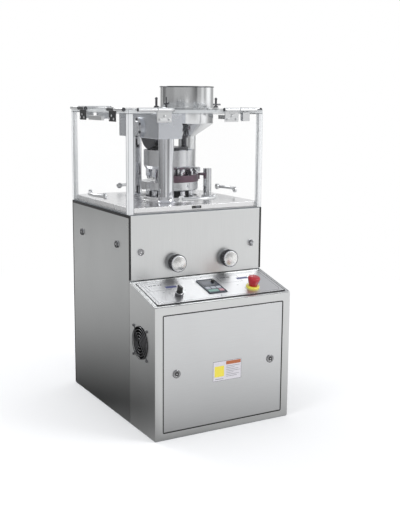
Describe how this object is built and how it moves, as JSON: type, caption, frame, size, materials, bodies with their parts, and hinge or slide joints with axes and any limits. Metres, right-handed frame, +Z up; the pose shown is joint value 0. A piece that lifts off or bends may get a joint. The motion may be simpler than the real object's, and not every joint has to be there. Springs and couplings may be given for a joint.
{
  "type": "rotary tablet press",
  "caption": "Small floor-standing rotary tablet press: stainless cabinet with sloped console, turret of punches between two columns, hopper, and clear flip-up guard doors.",
  "frame": {"origin": "middle of the cabinet's footprint on the floor", "axes": "+Z up, the console and its door face -Y, +X to the right seen from the front"},
  "size_m": [0.539, 0.6711, 1.056],
  "materials": {
    "brushed_stainless": "brushed stainless sheet",
    "side_stainless": "brushed stainless sheet",
    "bright_steel": "polished steel",
    "machined_steel": "turned and ground steel",
    "frame_paint": "grey paint",
    "beam_grey": "satin plated casting",
    "dark_steel": "blackened hardened steel",
    "gear_bronze": "machined bronze",
    "motor_paint": "blue-grey enamel",
    "feeder_bronze": "dark bronze",
    "clear_acrylic": "clear acrylic",
    "hinge_metal": "satin",
    "fan_black": "moulded black plastic",
    "fan_wire": "plated wire",
    "estop_yellow": "moulded yellow plastic",
    "estop_red": "moulded red plastic",
    "control_black": "moulded black plastic",
    "keypad_dark": "dark moulded plastic",
    "key_grey": "light grey rubber",
    "key_green": "green rubber",
    "key_red": "red rubber",
    "panel_film": "satin faceplate",
    "door_stainless": "brushed stainless sheet"
  },
  "bodies": {
    "cabinet": {"base_frame": "frame_paint", "front_panel": "brushed_stainless", "rear_panel": "side_stainless", "side_panels": "side_stainless", "console_housing": "brushed_stainless", "control_panel": "panel_film", "table_plate": "machined_steel", "bed": "frame_paint", "panel_locks": "bright_steel", "fan_frame": "fan_black", "fan_guard": "fan_wire", "estop_collar": "estop_yellow", "selector_bezel": "bright_steel", "keypad_case": "keypad_dark", "columns": "bright_steel", "beam": "beam_grey", "upper_axle": "machined_steel", "upper_cam": "dark_steel", "gearmotor": "motor_paint", "lower_cam": "dark_steel", "feeder": "feeder_bronze", "feeder_post": "machined_steel", "clamp_screws": "bright_steel", "hopper": "bright_steel", "discharge_chute": "brushed_stainless", "guard_posts": "clear_acrylic", "guard_top": "clear_acrylic", "guard_hinges": "hinge_metal"},
    "turret": {"turret": "machined_steel", "dies": "bright_steel", "upper_punches": "bright_steel", "lower_punches": "bright_steel", "main_shaft": "machined_steel", "main_gear": "gear_bronze"},
    "pinion": {"pinion": "machined_steel"},
    "upper_roller": {"upper_roller": "dark_steel"},
    "thickness_wheel": {"thickness_wheel": "bright_steel"},
    "lower_axle": {"lower_axle": "machined_steel"},
    "lower_roller": {"lower_roller": "dark_steel"},
    "fill_wheel": {"fill_wheel": "bright_steel"},
    "fill_cam": {"fill_cam": "gear_bronze"},
    "fan_rotor": {"fan_rotor": "fan_black"},
    "console_door": {"console_door": "door_stainless"},
    "door_lock_left": {"door_lock_left": "bright_steel"},
    "door_lock_right": {"door_lock_right": "bright_steel"},
    "estop_button": {"estop_button": "estop_red"},
    "selector_knob": {"selector_knob": "control_black"},
    "menu_key": {"menu_key": "key_grey"},
    "shift_key": {"shift_key": "key_grey"},
    "enter_key": {"enter_key": "key_grey"},
    "run_key": {"run_key": "key_green"},
    "stop_key": {"stop_key": "key_red"},
    "front_guard": {"front_guard": "clear_acrylic", "front_fittings": "hinge_metal"},
    "right_guard": {"right_guard": "clear_acrylic", "right_fittings": "hinge_metal"},
    "rear_guard": {"rear_guard": "clear_acrylic", "rear_fittings": "hinge_metal"},
    "left_guard": {"left_guard": "clear_acrylic", "left_fittings": "hinge_metal"}
  },
  "joints": [
    {"name": "turret_spin", "type": "hinge", "parent": "cabinet", "child": "turret", "pos_m": [0.01, 0.07, 0.73], "axis": [0, 0, 1], "continuous": true},
    {"name": "pinion_spin", "type": "hinge", "parent": "cabinet", "child": "pinion", "pos_m": [0.01, 0.17, 0.45], "axis": [0, 0, 1], "continuous": true},
    {"name": "upper_roller_spin", "type": "hinge", "parent": "cabinet", "child": "upper_roller", "pos_m": [-0.06, 0.07, 0.9055], "axis": [1, 0, 0], "continuous": true},
    {"name": "thickness_turn", "type": "hinge", "parent": "cabinet", "child": "thickness_wheel", "pos_m": [-0.08, -0.15, 0.506], "axis": [0, 1, 0], "range_deg": [0, 2700]},
    {"name": "lower_axle_turn", "type": "hinge", "parent": "cabinet", "child": "lower_axle", "pos_m": [-0.06, 0.07, 0.5475], "axis": [1, 0, 0], "range_deg": [0, 90]},
    {"name": "lower_roller_spin", "type": "hinge", "parent": "lower_axle", "child": "lower_roller", "pos_m": [-0.06, 0.07, 0.5505], "axis": [1, 0, 0], "continuous": true},
    {"name": "fill_turn", "type": "hinge", "parent": "cabinet", "child": "fill_wheel", "pos_m": [0.11, -0.15, 0.506], "axis": [0, 1, 0], "range_deg": [-65.4, 0]},
    {"name": "fill_slide", "type": "slide", "parent": "cabinet", "child": "fill_cam", "axis": [0, 0, 1], "range_m": [-0.012, 0]},
    {"name": "fan_spin", "type": "hinge", "parent": "cabinet", "child": "fan_rotor", "pos_m": [-0.22, -0.22, 0.284], "axis": [1, 0, 0], "continuous": true},
    {"name": "console_door_pull", "type": "slide", "parent": "cabinet", "child": "console_door", "axis": [0, -1, 0], "range_m": [0, 0.15]},
    {"name": "door_lock_left_turn", "type": "hinge", "parent": "console_door", "child": "door_lock_left", "pos_m": [-0.168, -0.32, 0.203], "axis": [0, -1, 0], "range_deg": [0, 90]},
    {"name": "door_lock_right_turn", "type": "hinge", "parent": "console_door", "child": "door_lock_right", "pos_m": [0.168, -0.32, 0.203], "axis": [0, 1, 0], "range_deg": [0, 90]},
    {"name": "estop_push", "type": "slide", "parent": "cabinet", "child": "estop_button", "axis": [0, 0.2425, -0.9701], "range_m": [0, 0.005], "stiffness_N_per_m": 800},
    {"name": "selector_turn", "type": "hinge", "parent": "cabinet", "child": "selector_knob", "pos_m": [-0.132, -0.26769, 0.42914], "axis": [0, -0.2425, 0.9701], "range_deg": [-45, 45]},
    {"name": "menu_key_push", "type": "slide", "parent": "cabinet", "child": "menu_key", "axis": [0, 0.2425, -0.9701], "range_m": [0, 0.001], "stiffness_N_per_m": 400},
    {"name": "shift_key_push", "type": "slide", "parent": "cabinet", "child": "shift_key", "axis": [0, 0.2425, -0.9701], "range_m": [0, 0.001], "stiffness_N_per_m": 400},
    {"name": "enter_key_push", "type": "slide", "parent": "cabinet", "child": "enter_key", "axis": [0, 0.2425, -0.9701], "range_m": [0, 0.001], "stiffness_N_per_m": 400},
    {"name": "run_key_push", "type": "slide", "parent": "cabinet", "child": "run_key", "axis": [0, 0.2425, -0.9701], "range_m": [0, 0.001], "stiffness_N_per_m": 400},
    {"name": "stop_key_push", "type": "slide", "parent": "cabinet", "child": "stop_key", "axis": [0, 0.2425, -0.9701], "range_m": [0, 0.001], "stiffness_N_per_m": 400},
    {"name": "front_guard_lift", "type": "hinge", "parent": "cabinet", "child": "front_guard", "pos_m": [0, -0.15, 0.981], "axis": [-1, 0, 0], "range_deg": [0, 100]},
    {"name": "right_guard_lift", "type": "hinge", "parent": "cabinet", "child": "right_guard", "pos_m": [0.246, 0.088, 0.981], "axis": [0, -1, 0], "range_deg": [0, 100]},
    {"name": "rear_guard_lift", "type": "hinge", "parent": "cabinet", "child": "rear_guard", "pos_m": [0, 0.326, 0.981], "axis": [1, 0, 0], "range_deg": [0, 100]},
    {"name": "left_guard_lift", "type": "hinge", "parent": "cabinet", "child": "left_guard", "pos_m": [-0.246, 0.088, 0.981], "axis": [0, 1, 0], "range_deg": [0, 100]}
  ],
  "couplings": [
    {"joint": "pinion_spin", "follows": "turret_spin", "ratio": -3},
    {"joint": "lower_axle_turn", "follows": "thickness_turn", "ratio": 0.033333},
    {"joint": "fill_slide", "follows": "fill_turn", "m_per_rad": 0.0105}
  ]
}
